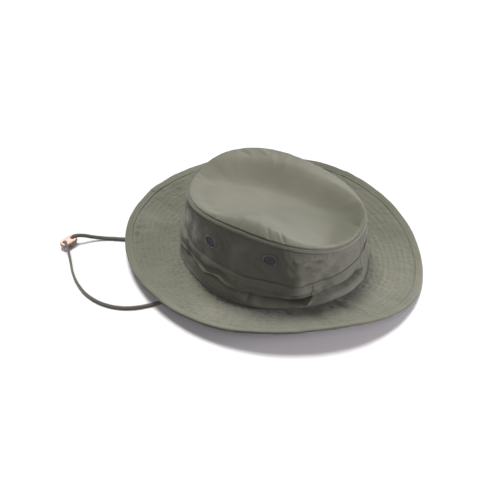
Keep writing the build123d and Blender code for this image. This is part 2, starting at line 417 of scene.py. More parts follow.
class Shader:
    """A small builder for one node material."""

    def __init__(self, name):
        self.material = bpy.data.materials.new(name)
        self.material.use_nodes = True
        self.tree = self.material.node_tree
        self.main = self.tree.nodes["Principled BSDF"]

    def node(self, kind, **settings):
        made = self.tree.nodes.new(kind)
        for key, value in settings.items():
            if key in made.inputs:
                made.inputs[key].default_value = value
            else:
                setattr(made, key, value)
        return made

    def link(self, output, target):
        self.tree.links.new(output, target)

    def place(self):
        return self.node("ShaderNodeTexCoord").outputs["Object"]

    def math(self, operation, *values):
        made = self.node("ShaderNodeMath", operation=operation)
        for slot, value in zip(made.inputs, values):
            if isinstance(value, (int, float)):
                slot.default_value = value
            else:
                self.link(value, slot)
        return made.outputs[0]

    def noise(self, vector, scale, detail):
        made = self.node("ShaderNodeTexNoise", Scale=scale, Detail=detail)
        self.link(vector, made.inputs["Vector"])
        return made.outputs["Fac"]

    def ramp(self, value, *stops):
        """A colour that runs through (value, colour) stops."""
        made = self.node("ShaderNodeValToRGB")
        for element, (place, colour) in zip(made.color_ramp.elements, stops):
            element.position = place
            element.color = (*colour, 1)
        self.link(value, made.inputs["Fac"])
        return made.outputs["Color"]

    def shade(self, colour, value, low, high):
        """Multiplies a colour by a brightness that runs from low to high with value."""
        span = self.node("ShaderNodeMapRange")
        set_inputs(span, {"To Min": low, "To Max": high})
        self.link(value, span.inputs["Value"])
        mixed = self.node("ShaderNodeVectorMath", operation="SCALE")
        self.link(colour, mixed.inputs[0])
        self.link(span.outputs[0], mixed.inputs["Scale"])
        return mixed.outputs[0]

    def finish(self, colour, relief, depth, settings):
        """Takes its colour, a bump of this depth in mm and the shader's own settings."""
        self.link(colour, self.main.inputs["Base Color"])
        bump = self.node("ShaderNodeBump", Strength=1.0, Distance=depth * MM)
        self.link(relief, bump.inputs["Height"])
        self.link(bump.outputs["Normal"], self.main.inputs["Normal"])
        set_inputs(self.main, settings)
        return self.material


def cloth_material(name, dark, light, yarn_width=0.55):
    """Washed twill: a diagonal weave, heathered yarns and slow fading."""
    shader = Shader(name)
    place = shader.node("ShaderNodeAttribute", attribute_name="cloth").outputs["Vector"]
    axes = shader.node("ShaderNodeSeparateXYZ")
    shader.link(place, axes.inputs[0])
    turns = TAU / (yarn_width * MM)
    warp = shader.math("MULTIPLY", axes.outputs["X"], turns)
    weft = shader.math("MULTIPLY", axes.outputs["Y"], turns)
    twill = shader.math("SINE", shader.math("ADD", warp, weft))
    yarn = shader.math("SINE", shader.math("MULTIPLY", weft, 2.0))
    weave = shader.math("ADD", twill, shader.math("MULTIPLY", yarn, 0.5))
    weave = shader.math("ADD", shader.math("MULTIPLY", weave, 0.33), 0.5)
    fade = shader.noise(place, scale=14.0, detail=4.0)
    heather = shader.noise(place, scale=900.0, detail=2.0)
    colour = shader.ramp(fade, (0.3, dark), (0.7, light))
    colour = shader.shade(colour, heather, 0.78, 1.22)
    colour = shader.shade(colour, weave, 0.9, 1.1)
    relief = shader.math("ADD", weave, shader.math("MULTIPLY", heather, 0.8))
    settings = {"Roughness": 0.92, "Specular IOR Level": 0.25}
    settings.update({"Sheen Weight": 0.25, "Sheen Roughness": 0.5})
    return shader.finish(colour, relief, 0.12, settings)


def thread_material(name, dark, light):
    shader = Shader(name)
    grain = shader.noise(shader.place(), scale=1400.0, detail=2.0)
    colour = shader.ramp(grain, (0.3, dark), (0.7, light))
    return shader.finish(colour, grain, 0.05, {"Roughness": 0.6, "Sheen Weight": 0.3})


def enamel_material(name, colour, roughness):
    shader = Shader(name)
    grain = shader.noise(shader.place(), scale=700.0, detail=3.0)
    low, high = ([c * tone for c in colour] for tone in (0.75, 1.35))
    colour = shader.ramp(grain, (0.35, low), (0.7, high))
    settings = {"Roughness": roughness, "Coat Weight": 0.4, "Coat Roughness": 0.25}
    return shader.finish(colour, grain, 0.02, settings)


def leather_material(name, dark, light):
    shader = Shader(name)
    place = shader.place()
    grain = shader.noise(place, scale=900.0, detail=4.0)
    tone = shader.noise(place, scale=120.0, detail=2.0)
    colour = shader.shade(shader.ramp(tone, (0.3, dark), (0.7, light)), grain, 0.85, 1.1)
    return shader.finish(colour, grain, 0.08, {"Roughness": 0.55})


cloth = cloth_material("cloth", (0.150, 0.152, 0.112), (0.200, 0.201, 0.152))
tape_cloth = cloth_material("tape_cloth", (0.150, 0.152, 0.112), (0.195, 0.196, 0.15), 0.8)
lining_cloth = cloth_material("lining_cloth", (0.12, 0.122, 0.09), (0.16, 0.16, 0.12), 0.9)
label_cloth = cloth_material("label_cloth", (0.5, 0.5, 0.46), (0.62, 0.62, 0.57), 0.4)
thread = thread_material("thread", (0.14, 0.172, 0.158), (0.23, 0.27, 0.25))
# Near-black thread: real for the band's bar tacks; laid in the top seam's groove it also paints
# the shade of that seam's crease.
dark_thread_and_seam_shade = thread_material("dark_thread_and_seam_shade", (0.07, 0.07, 0.055), (0.12, 0.12, 0.095))
enamel = enamel_material("enamel", (0.10, 0.09, 0.10), 0.22)
wire = enamel_material("wire", (0.10, 0.09, 0.10), 0.45)
cord_cloth = thread_material("cord_cloth", (0.07, 0.062, 0.05), (0.15, 0.135, 0.11))
leather = leather_material("leather", (0.76, 0.47, 0.38), (0.90, 0.68, 0.58))


# ---- shapes shared by the pieces

COLUMNS = 640
SIDE_COLUMNS, TOP_COLUMNS, TAPE_COLUMNS, SWEAT_COLUMNS, FEW_COLUMNS = 600, 500, 800, 420, 180
CLOTH = 0.7 * MM
STACK = 2.2 * MM  # both cloths of the brim and its stiffener
ROWS = 9
ROW_FIRST, ROW_PITCH = 4.4 * MM, 5.7 * MM
BINDING = 6.5 * MM
CROWN_RADIUS = 0.09
WELT = 4.4 * MM
SIDE_SEAMS = (90, 270)
BAND_STAND = 1.1 * MM
SWEAT_TALL = 0.034


def place_on(angle, reach, height):
    return np.stack(
        [AXIS[0] + reach * np.cos(angle), AXIS[1] + reach * np.sin(angle), height], -1
    )


def bell(value, width):
    return np.exp(-((value / width) ** 2))


def step(value, low, high):
    t = np.clip((value - low) / (high - low), 0, 1)
    return t * t * (3 - 2 * t)


def off_angle(angle, centre):
    """Degrees from this centre angle, from -180 to 180."""
    return (np.asarray(angle) / DEG - centre + 180) % 360 - 180


def fold(angle, other, start, low, end, high, width, height, sharp=False):
    """A ridge, or a crease if height is negative, along a line on the cloth.

    The line runs from start degrees and low mm to end degrees and high mm; width and height
    are in mm too. An angle counts as metres along the crown's side.
    """
    metres = CROWN_RADIUS * DEG
    px, py = off_angle(angle, start) * metres, other - low * MM
    dx, dy = off_angle(end * DEG, start) * metres, (high - low) * MM
    along = np.clip((px * dx + py * dy) / (dx * dx + dy * dy), 0, 1)
    away = np.hypot(px - along * dx, py - along * dy) / (width * MM)
    taper = 1 - 0.8 * (2 * along - 1) ** 2
    section = np.exp(0.25 - np.hypot(away, 0.25)) if sharp else bell(away, 1.0)
    return height * MM * taper * section


def add_folds(angle, other, folds):
    return sum(fold(angle, other, *one) for one in folds)


# ---- vents, read from the frame

class Vent:
    """Where an eyelet sits: the middle of its flange and the way it faces."""

    def __init__(self, place):
        points = node_points("vent_eyelet_" + place)
        middle = points.mean(0)
        spread = np.linalg.eigh((points - middle).T @ (points - middle))[1]
        axis = spread[:, 0]
        if axis @ (middle - AXIS) < 0:
            axis = -axis
        depth = (points - middle) @ axis
        self.place = place
        self.axis = axis
        self.seat = middle + axis * depth.max() - axis * 1.15 * MM
        self.along = unit(np.cross((0, 0, 1), axis))
        self.up = np.cross(axis, self.along)

    def reach(self, points):
        """How far each point is from the vent's axis."""
        off = points - self.seat
        away = off - (off @ self.axis)[..., None] * self.axis
        return np.where(off @ self.axis > -0.03, np.linalg.norm(away, axis=-1), 1.0)


VENTS = [Vent(p) for p in ("front_left", "back_left", "front_right", "back_right")]


# ---- brim

def brim_span(angle):
    """Reach and height where the brim starts, how far it goes out and up, and its width."""
    rb, zb = base_ring.at(angle)
    re, ze = edge_ring.at(angle)
    return rb, zb, re - rb, ze - zb, np.hypot(re - rb, ze - zb)


def brim_width_at(angle):
    return brim_span(angle)[-1]


BRIM_FOLDS = [
    (300, 8, 284, 30, 3, 1.6), (284, 34, 285, 50, 2.8, -1.7),
    (280, 12, 277, 40, 3, 1.5), (268, 10, 264, 46, 3, -1.8),
    (262, 20, 258, 50, 2.8, 1.8), (63, 2, 64, 26, 2.6, -1.2),
    (66, 4, 69, 30, 3, 0.8), (33, 2, 34, 16, 3, -1.2),
    (352, 1, 348, 12, 3.5, -1.2), (318, 6, 352, 14, 6, 1.6),
]


def brim_form(angle, distance):
    """The brim's smooth shape with its swells and folds, before quilting."""
    start, base, out, rise, width = brim_span(angle)
    share = distance / width
    swell = noise_sum(angle, (1.5, share * 1.5, 4, 4), (0.9, share * 1.2, 10, 5))
    height = base + rise * share + swell * step(share, 0.0, 0.5) * MM
    return start + out * share, height + add_folds(angle, distance, BRIM_FOLDS)


def quilting(angle, distance):
    """How far the cloth stands up between the stitch rows, crimped along each row."""
    row = (distance - ROW_FIRST) / ROW_PITCH
    cell = np.floor(row)
    pillow = np.abs(np.sin(np.pi * row)) ** 0.8
    calm = np.clip(0.55 + 0.6 * round_noise(angle, distance * 30, 3, 3), 0.2, 1)
    slant = angle + 0.02 * (row - cell - 0.5) * round_noise(angle, cell, 6, 8)
    crimp = 2.2 * round_noise(slant, cell * 3.1, 38, 2)
    crimp = crimp + 1.4 * round_noise(slant, cell * 5.7, 75, 6)
    flatter = 1 - 0.4 * bell(off_angle(angle, 105), 50)
    return np.maximum(flatter * pillow * (0.38 + crimp * calm), -0.25) * MM


def brim_layer(drop, puff):
    """One of the brim's layers: how far it lies below the top and its share of the quilting."""
    def shape(angle, distance):
        reach, height = brim_form(angle, distance)
        fade = step(distance, 0, 0.002) * step(brim_width_at(angle) - distance, 0.004, 0.009)
        return place_on(angle, reach, height - drop + puff * quilting(angle, distance) * fade)
    return shape


brim_top = brim_layer(0.0, 1.0)
brim_middle = brim_layer(1.0 * MM, 0.0)
brim_under = brim_layer(STACK, -0.8)


# ---- crown side

SIDE_FOLDS = [
    (38.5, 82, 41.5, 24, 15, 7, True), (61, 80, 62, 30, 14, -2.5),
    (22, 80, 24, 30, 12, -1.5), (9, 80, 7, 48, 13, 2.4),
    (353, 70, 351, 45, 9, -1.6), (330, 55, 322, 50, 9, 1.6),
    (314, 75, 316, 45, 7, -1.5), (43.5, 66.5, 54, 61.8, 2.2, -5.2),
    (43.5, 70.8, 54, 66, 2.6, 1.8), (44, 62.5, 52, 58.2, 3, 0.8),
    (54, 62, 87, 51.5, 1.1, -1.2, True), (70, 70, 72, 50, 8, -1.4),
    (100, 65, 104, 40, 9, 1.8), (150, 68, 156, 40, 10, -2),
    (185, 62, 181, 40, 9, 1.8), (215, 70, 222, 45, 8, -1.8),
    (250, 70, 246, 45, 9, 1.6),
]

# The crumpled foot of the crown, round it in degrees, with five lengths in mm: the band's drop,
# its belly, how far its hem stands out, how deep the side tucks in under the hem and how high
# the shelf is that the tuck leaves above the brim.
CRUMPLE = [
    (290, 22.5, 1, 1, 0, 16), (308, 18, 1.5, 1, 3, 18),
    (322, 17, 2, 1.8, 5, 20), (335, 19, 2.2, 3.2, 6, 20),
    (346, 15, 2.2, 3.2, 6, 23), (358, 20.5, 2.5, 2.5, 6, 17),
    (8, 20.5, 3.6, -0.2, 10, 8), (19, 19.8, 3.8, 1.2, 14, 4.5),
    (36, 19, 3.8, 1.4, 14, 4), (45, 17, 3, 1, 12, 5),
    (51, 16, 2, 1, 3, 13), (60, 12.5, 2, -1, 10, 12),
    (72, 15, 2, -2, 11, 10), (84, 16.5, 1.5, -2, 10, 10),
    (96, 20, 1, 1, 2, 11), (140, 22, 1.5, 2.5, 2, 12),
    (176, 20, 3, 3.5, 5, 12), (205, 17, 4, 3.5, 7, 10),
    (230, 20, 2.5, 2, 4, 12), (262, 23, 1, 1, 0, 14),
]


DROP, BELLY, HEM_OUT, TUCK, SHELF = range(1, 6)


def crumple(angle, column):
    """One length of the crumple, in metres, going smoothly from one place to the next."""
    places = np.array(CRUMPLE)
    at = (np.asarray(angle) / DEG - CRUMPLE[0][0]) % 360
    starts = (places[:, 0] - CRUMPLE[0][0]) % 360
    before = np.searchsorted(starts, at, side="right") - 1
    after = (before + 1) % len(places)
    gap = (starts[after] - starts[before]) % 360
    share = step((at - starts[before]) / gap, 0, 1)
    values = places[:, column] * MM
    return values[before] * (1 - share) + values[after] * share


def tuck(angle, up):
    """The side folds in on itself under the band's hem, over a shelf of its own cloth."""
    hem = band_top_up(angle) - crumple(angle, DROP)
    shelf = crumple(angle, SHELF) + 0.7 * MM * round_noise(angle, 0.0, 12, 15)
    inward = step(up, shelf, shelf + 0.0024) * (1 - step(up, hem + 0.001, hem + 0.012))
    ledge = 0.3 * bell(up - shelf + 0.0025, 0.0045)
    return crumple(angle, TUCK) * (ledge - inward)


def waist(angle, share):
    """The cloth falls in a little above the brim at the back left and the front."""
    back, front = bell(off_angle(angle, 84), 22), bell(off_angle(angle, 300), 24)
    return -(5.0 * back + 2.0 * front) * MM * bell(share - 0.4, 0.26)


def crown_ends(angle):
    """Reach and height of the side's lower edge, then of its upper edge."""
    return (*base_ring.at(angle), *top_ring.at(angle))


def side_base(angle, share):
    """The side's reach and height before its folds."""
    rb, zb, rt, zt = crown_ends(angle)
    bulge = 1.5 * MM * np.sin(np.pi * np.clip(share, 0, 1)) + waist(angle, share)
    return rb + (rt - rb) * share + bulge, zb + (zt - zb) * share


def side_height(angle):
    """The cloth's height from the brim's seam to the top's."""
    rb, zb, rt, zt = crown_ends(angle)
    return np.hypot(rt - rb, zt - zb)


def vent_offset(vent):
    """How far the cloth has to move for the eyelet to sit on it."""
    x, y, z = vent.seat - (AXIS[0], AXIS[1], 0)
    angle = np.array(math.atan2(y, x))
    _, zb, _, zt = crown_ends(angle)
    reach, _ = side_base(angle, (z - zb) / (zt - zb))
    return math.hypot(x, y) - float(reach) - 0.1 * MM


VENT_OFFSETS = [vent_offset(vent) for vent in VENTS]


def side_swells(angle, share):
    """The soft folds that the side and the band on it share."""
    swells = noise_sum(angle, (2.6, share * 2.5, 4, 11), (1.6, share * 5, 7, 12))
    swells = swells + 0.6 * round_noise(angle + share * 0.7, share * 8, 14, 13)
    return swells * MM + add_folds(angle, share * side_height(angle), SIDE_FOLDS)


def side_seams(angle, reach, up, down):
    """Folded seam allowances along the top, the foot and the two side seams, and their rows."""
    edge = 0.8 * MM
    raised = 0.9 * step(WELT - down, 0, edge) * step(down, 0.0006, 0.0018)
    raised = raised + 0.9 * step(WELT + 0.0010 - up, 0, edge)
    sunk = 1.0 * bell(down - WELT - 0.0006, 0.0009) + 1.2 * bell(down, 0.0008)
    sunk = sunk + 0.4 * (bell(up - 0.0020, 0.0005) + bell(up - 0.0041, 0.0005))
    for seam in SIDE_SEAMS:
        gap = np.abs(off_angle(angle, seam)) * DEG * reach
        raised = raised + 0.5 * step(0.0048 - gap, 0, edge) * step(gap, 0.0001, 0.0005)
    return (raised - sunk) * MM


def side_at(angle, share):
    """The crown's side: share 0 at the brim's seam, 1 at the top's."""
    reach, height = side_base(angle, share)
    tall = side_height(angle)
    up, down = share * tall, (1 - share) * tall
    folds = side_swells(angle, share) * step(up, 0, 0.02) * step(down, 0.002, 0.016)
    puckers = round_noise(angle, share, 42, 14) * bell(down - 0.008, 0.006) * 0.45 * MM
    folds = folds + puckers
    seat = place_on(angle, reach, height)
    seams = side_seams(angle, reach, up, down)
    for vent, offset in zip(VENTS, VENT_OFFSETS):
        away = vent.reach(seat)
        folds = folds * step(away, 0.0085, 0.017)
        reach = reach + offset * bell(away, 0.016)
    reach = reach + tuck(angle, up) * step(up, 0.002, 0.006)
    return place_on(angle, reach + folds + seams, height)


# ---- crown top

def top_plane():
    """The level and the two tilts of the plane that the top's seam lies closest to."""
    angles = np.linspace(0, TAU, 72, endpoint=False)
    heights = top_ring.at(angles)[1]
    tilt_x, tilt_y = ((heights * way(angles)).mean() * 2 for way in (np.cos, np.sin))
    return heights.mean(), tilt_x, tilt_y


TOP_MEAN, TOP_TILT_X, TOP_TILT_Y = top_plane()


TOP_FOLDS = [
    (21.5, 1, 20, 14, 1.7, -1.5), (31.5, 1, 29.5, 13, 1.5, -2),
    (29, 3, 27, 12, 1.6, 1), (104, 4, 106, 12, 2, -1.4),
    (94, 4, 92, 13, 1.6, -1.2), (98, 4, 99, 14, 2, 0.9),
    (340, 1, 341, 8, 1.6, -0.8), (2, 1, 1, 12, 2, -0.8),
    (232, 4, 226, 18, 4, -1.6), (216, 6, 210, 16, 3.5, 1.2),
]


def valley_line(y):
    """How far the valley's far slope is from the crown's axis, seen along the hat."""
    bent = y - 0.012
    return -0.046 + 4.5 * np.minimum(bent, 0) ** 2 + 2.5 * np.maximum(bent, 0) ** 2


def top_valley(angle, across, beyond, inside):
    """How far the top sinks: all at once in the valley, and less towards the far rim."""
    climb = step(beyond, -0.015, 0.020 - 0.10 * np.clip(across - 0.02, 0, 0.06))
    back_up = 1 - 0.95 * np.clip((beyond - 0.020) / 0.095, 0, 1) ** 1.3
    edge = step(inside, 0, 0.018 - 0.012 * bell(off_angle(angle, 112), 26))
    puff = 1.5 * MM * (1 - climb) * edge
    return 16.0 * MM * climb * back_up * edge * (1 - 0.6 * step(-across, 0.035, 0.075)) - puff


def top_ridge(angle, inside):
    """The ridge that follows the seam on the wearer's left."""
    wedge = bell(off_angle(angle, 12), 31)
    inset = 2.5 * MM + 11.5 * MM * wedge
    ridge = (1.0 + 10.2 * wedge) * MM * np.sin(np.pi / 2 * np.clip(inside / inset, 0, 1))
    return ridge * (1 - step(inside, inset + 0.006, inset + 0.055))


def top_at(angle, share):
    """The crown's top: share 0 in its middle, 1 at its seam."""
    rt, zt = top_ring.at(angle)
    tilt = TOP_TILT_X * np.cos(angle) + TOP_TILT_Y * np.sin(angle)
    inside = (1 - share) * rt
    across = share * rt * np.sin(angle)
    beyond = share * rt * np.cos(angle) - valley_line(across)
    height = TOP_MEAN + share * tilt + (zt - TOP_MEAN - tilt) * share**3
    height = height - top_valley(angle, across, beyond, inside) + top_ridge(angle, inside)
    gathers = 0.35 * round_noise(angle, share * 3, 26, 23) * bell(inside - 0.005, 0.005)
    gathers = gathers + 0.7 * round_noise(angle, share * 2, 9, 24) * bell(inside - 0.016, 0.012)
    height = height + gathers * MM + add_folds(angle, inside, TOP_FOLDS)
    rim = bell(inside, 0.0008)
    points = place_on(angle, rt * share - 1.2 * MM * rim, height + (1.0 - 1.1 * rim) * MM)
    soft = perlin(points, 22, 21) * 1.1 + perlin(points, 48, 22) * 0.4
    points[..., 2] += soft * step(inside, 0, 0.02) * MM
    return points


# ---- foliage band

def band_top_up(angle):
    """How far up the side's cloth the foliage band's top edge runs."""
    _, zb, _, zt = crown_ends(angle)
    return (band_ring.at(angle)[1] - zb) / (zt - zb) * side_height(angle)


BAND_FOLDS = [
    (318, 4, 338, 13, 2.4, -2), (340, 6, 2, 11, 2.6, -1.8),
    (4, 10, 20, 15, 2.4, -2.2), (352, 13, 10, 16, 1.8, 1.8),
    (24, 12.5, 30, 17, 2.2, -1.6), (60, 5, 74, 6.5, 3, 1),
    (130, 12, 160, 15, 3, -1.8), (190, 10, 215, 8, 3.2, -2),
    (262, 14, 290, 11, 3.2, -1.6),
]


def band_at(angle, share):
    """The foliage band: share 0 at its sewn top edge, 1 at its loose lower edge."""
    down = share * crumple(angle, DROP)
    up = np.maximum(band_top_up(angle) - down, 0.004)
    reach, height = side_base(angle, up / side_height(angle))
    reach = reach + side_swells(angle, up / side_height(angle)) * step(up, 0, 0.02)
    stand = BAND_STAND + 0.8 * MM * bell(share - 0.95, 0.06)
    stand = stand + crumple(angle, BELLY) * np.sin(np.pi * np.clip(share / 0.85, 0, 1))
    hem = step(share, 0.72, 1.0) - 1.1 * bell(share - 0.68, 0.14)
    stand = stand + crumple(angle, HEM_OUT) * hem
    ripples = noise_sum(angle, (1, share * 3, 7, 33), (0.4, share * 5, 14, 34))
    folds = ripples * MM * step(share, 0.08, 0.6) + add_folds(angle, down, BAND_FOLDS)
    room = np.minimum(tuck(angle, up), 0) + BAND_STAND
    stand = np.maximum(stand + folds * step(share, 0.06, 0.3), room)
    return place_on(angle, reach + stand - 0.4 * MM * bell(down - 0.0022, 0.0006), height)


# ---- building sheets

def round_angles(columns):
    """Even angles that start and end at the side's back seam, where the cloth does too."""
    return TAU / 4 + np.arange(columns) * TAU / columns


def flat_cloth(angle, row, points):
    """Places on a cloth that is cut flat, such as the brim's or the top's."""
    return points * (1, 1, 0)


def round_cloth(radius, tall):
    """Places on the flat strip of cloth that runs round the crown."""
    def place(angle, row, points):
        return np.stack([angle * radius, row * tall, np.zeros_like(row)], -1).reshape(-1, 3)
    return place


def sheet(name, shape, rows, angles, flat_place, material, thickness, closed=True):
    """A cloth through shape(angle, row value), thickened on its inner side."""
    grid_angle, grid_row = np.meshgrid(angles, rows)
    points = shape(grid_angle, grid_row).reshape(-1, 3)
    obj = to_object(name, points, grid_faces(len(rows), len(angles), closed), material)
    cloth_attribute(obj, flat_place(grid_angle, grid_row, points))
    if closed:
        weld(obj)
    thicken(obj, thickness)
    return obj


def piece(obj, slot, *nodes, body="hat"):
    """Stands for these CAD nodes and rides on the body, if any. The slot is not used."""
    if nodes:
        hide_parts(*nodes)
    if body:
        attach(obj, body)
    return obj


def stitching(name, rows, material=None, **sizes):
    """One piece of thread that rides on the hat."""
    return piece(stitch_rows(name, rows, material or thread, **sizes), "thread")


# ---- chin cord and slider

CORD_ROUTE = [
    (0.101, 0, 0.0036), (0.101, -0.013, 0.0036), (0.103, -0.029, 0.0017),
    (0.1035, -0.047, 0.0017), (0.1095, -0.0635, 0.0017), (0.125, -0.0775, 0.0017),
    (0.1383, -0.092, 0.0017), (0.1458, -0.109, 0.0017), (0.1473, -0.1275, 0.0017),
    (0.1428, -0.146, 0.0017), (0.1325, -0.1625, 0.0017), (0.1195, -0.1765, 0.0017),
    (0.1055, -0.1875, 0.0036), (0.0945, -0.1968, 0.009), (0.0872, -0.2053, 0.0103),
    (0.0872, -0.2053, 0.0017), (0.077, -0.2023, 0.0017), (0.077, -0.2023, 0.0103),
    (0.07, -0.194, 0.0092), (0.062, -0.1835, 0.004), (0.054, -0.169, 0.0017),
    (0.0475, -0.1505, 0.0017), (0.037, -0.1335, 0.0017), (0.017, -0.125, 0.0017),
    (-0.009, -0.1245, 0.0017), (-0.038, -0.119, 0.0017), (-0.066, -0.107, 0.0017),
    (-0.088, -0.086, 0.0017), (-0.102, -0.06, 0.0017), (-0.106, -0.036, 0.0017),
    (-0.101, -0.014, 0.0048), (-0.101, 0, 0.0048),
]

CORD_WIDE, CORD_HIGH = 4.0 * MM, 2.3 * MM
CORD_LEAN = (-0.5, -0.25, 0.8)
LEAN_PULL = 0.2
CORD_REST = 2.2 * MM  # the height of its middle where it lies on the floor
TAB_LOOP, TAB_TAIL, TAB_LENGTH = 2.45 * MM, 7.0 * MM, 12.0 * MM


def route_line():
    """Points along the smooth line that the cord follows."""
    curve = bpy.data.curves.new("route", "CURVE")
    curve.dimensions = "3D"
    curve.resolution_u = 30
    spline = curve.splines.new("NURBS")
    spline.points.add(len(CORD_ROUTE) - 1)
    for point, place in zip(spline.points, CORD_ROUTE):
        point.co = (*place, 1)
    spline.order_u = 3
    spline.use_endpoint_u = True
    holder = bpy.data.objects.new("route", curve)
    mesh = bpy.data.meshes.new_from_object(holder)
    line = np.array([v.co for v in mesh.vertices])
    bpy.data.objects.remove(holder)
    bpy.data.curves.remove(curve)
    bpy.data.meshes.remove(mesh)
    run = run_along(line)
    even = np.linspace(0, run[-1], int(run[-1] / (0.5 * MM)))
    return np.stack([np.interp(even, run, line[:, i]) for i in range(3)], -1)


def braid(run, turn):
    """The lattice of strands round the cord."""
    lay = run * TAU / (4.6 * MM)
    return 0.07 * np.sin(6 * turn + lay) * np.sin(6 * turn - lay)


def add_cord():
    line = route_line()
    line[:, 2] = np.maximum(line[:, 2], CORD_REST)
    cord = tube("chin_cord_braid", line, CORD_WIDE, CORD_HIGH, cord_cloth, 30, CORD_LEAN, braid)
    piece(cord, "cord", "chin_cord", body=None)
    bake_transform(cord)


def tab_section(place, angle, centre):
    """A tab's section: two tails under the brim and a loop round the cord, across and up."""
    tails = TAB_TAIL * np.array([1, 0.8, 0.6])
    sweep = np.linspace(230, -50, 21) * DEG + math.pi
    across = np.concatenate([tails, TAB_LOOP * np.cos(sweep), -tails[::-1]])
    reach = np.abs(centre[0] + across - AXIS[0])
    start, _ = base_ring.at(np.array(angle))
    roof = brim_under(np.full_like(reach, angle), (reach - start) * 1.04)[:, 2] - 0.5 * MM
    return across, np.concatenate([roof[:3], centre[2] + TAB_LOOP * np.sin(sweep), roof[-3:]])


def add_tabs():
    """Short tapes under the brim, folded round the cord's two ends and stitched down."""
    for place, angle in (("left", 0.0), ("right", math.pi)):
        centre = np.mean(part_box("cord_tab_" + place), axis=0)
        across, height = tab_section(place, angle, centre)
        steps = np.linspace(-TAB_LENGTH / 2, TAB_LENGTH / 2, 13)
        grid = np.empty((len(steps), len(across), 3))
        grid[..., 0] = centre[0] + across
        grid[..., 1] = centre[1] + steps[:, None]
        grid[..., 2] = height
        faces = grid_faces(len(steps), len(across), False)
        tab = to_object("cord_tab_tape_" + place, grid.reshape(-1, 3), faces, tape_cloth)
        cloth_attribute(tab, grid * (1, 1, 0))
        thicken(tab, 0.8 * MM, 0.0)
        piece(tab, "binding", "cord_tab_" + place)
        rows = []
        for column in (1, -2):
            spots = grid[2:-2:2, column] - (0, 0, 0.45 * MM)
            along, down = (np.tile(way, (len(spots), 1)) for way in ((0, 1.0, 0), (0, 0, -1.0)))
            rows.append((spots, along, down))
        stitches = stitching("cord_tab_stitches_" + place, rows, length=1.6 * MM)


# ---- brim pieces

def add_brim():
    shares = np.linspace(0, 1, 75)

    def layer(name, shape, rows, columns, material, thickness, start=0.0):
        def spread(angle, share):
            return shape(angle, start + share * (brim_width_at(angle) - start))
        return sheet(name, spread, rows, round_angles(columns), flat_cloth, material, thickness)

    upper = layer("brim_cloth_upper", brim_top, shares, COLUMNS, cloth, -CLOTH)
    lower = layer("brim_cloth_lower", brim_under, shares[::2], COLUMNS, cloth, CLOTH)
    middle = layer("brim_stiffener", brim_middle, shares[::8], FEW_COLUMNS, lining_cloth,
                   -0.3 * MM, 0.006)
    piece(upper, "cloth", "brim_upper")
    piece(lower, "cloth", "brim_lower")
    piece(middle, "lining", "brim_interlining")
    lines = [ring_line(ROW_FIRST + ROW_PITCH * k) for k in range(ROWS)]
    tops = [row_on(brim_top, line, 3.0 * MM) for line in lines]
    unders = [row_on(brim_under, line, 3.4 * MM, -1) for line in lines]
    stitches_up = stitching("brim_stitches_upper", tops)
    stitches_down = stitching("brim_stitches_lower", unders)


def binding_shape(lift=0.0):
    """The edge tape's shape(angle, turn): turn 0 on the brim, 0.5 at its edge, 1 under it."""
    flat_share = 0.4
    half = STACK / 2 + 0.75 * MM + lift

    def shape(angle, turn):
        width = brim_width_at(angle)
        run = np.clip(np.minimum(turn, 1 - turn) / flat_share, 0, 1)
        distance = width - BINDING + BINDING * run
        reach, height = brim_form(angle, distance)
        swing = np.clip((turn - flat_share) / (1 - 2 * flat_share), 0, 1) * np.pi
        crimp = 0.16 * round_noise(angle, run * 2, 48, 41) + 0.25 * round_noise(angle, run, 14, 42)
        seam = -0.28 * bell(distance - (width - BINDING + 1.7 * MM), 0.6 * MM)
        edge = -0.5 * step(run, 0.12, 0.0)
        puff = (crimp + seam + edge) * MM * np.where(turn < 0.5, 1, -1)
        height = height - STACK / 2 + half * np.cos(swing) + puff
        return place_on(angle, reach + half * 0.75 * np.sin(swing), height)
    return shape


def add_binding():
    """The edge tape: it wraps from the brim's upper face round the edge to the lower one."""
    turns = np.linspace(0, 1, 30)
    flat = round_cloth(0.15, 0.016)
    around = round_angles(TAPE_COLUMNS)
    tape = sheet("binding_tape", binding_shape(), turns, around, flat, tape_cloth, -0.45 * MM)
    piece(tape, "binding", "brim_binding")
    span = np.linspace(258.6, 262.6, 24) * DEG
    lap = binding_shape(0.6 * MM)
    joint = sheet("binding_joint", lap, turns, span, flat, tape_cloth, -0.5 * MM, closed=False)
    piece(joint, "binding")
    rows = [row_on(binding_shape(), ring_line(turn)) for turn in (0.105, 0.895)]
    stitches = stitching("binding_stitches", rows)


# ---- crown pieces

def side_row(up=None, down=None):
    """Stitches round the side at this length of cloth up from its foot or down from its top."""
    def share(angle):
        return up / side_height(angle) if up else 1 - down / side_height(angle)
    return ring_line(share)


def cut_vents(points, faces):
    """Leaves out the faces inside each eyelet and rounds the edge that is left."""
    hole = 6.9 * MM
    for vent in VENTS:
        away = vent.reach(points)
        faces = faces[~(away < hole)[faces].all(1)]
        rim = np.unique(faces)
        rim = rim[away[rim] < hole + 0.5 * MM]
        off = points[rim] - vent.seat
        level = off - (off @ vent.axis)[:, None] * vent.axis
        points[rim] += level * (hole / np.linalg.norm(level, axis=1) - 1)[:, None]
    return faces


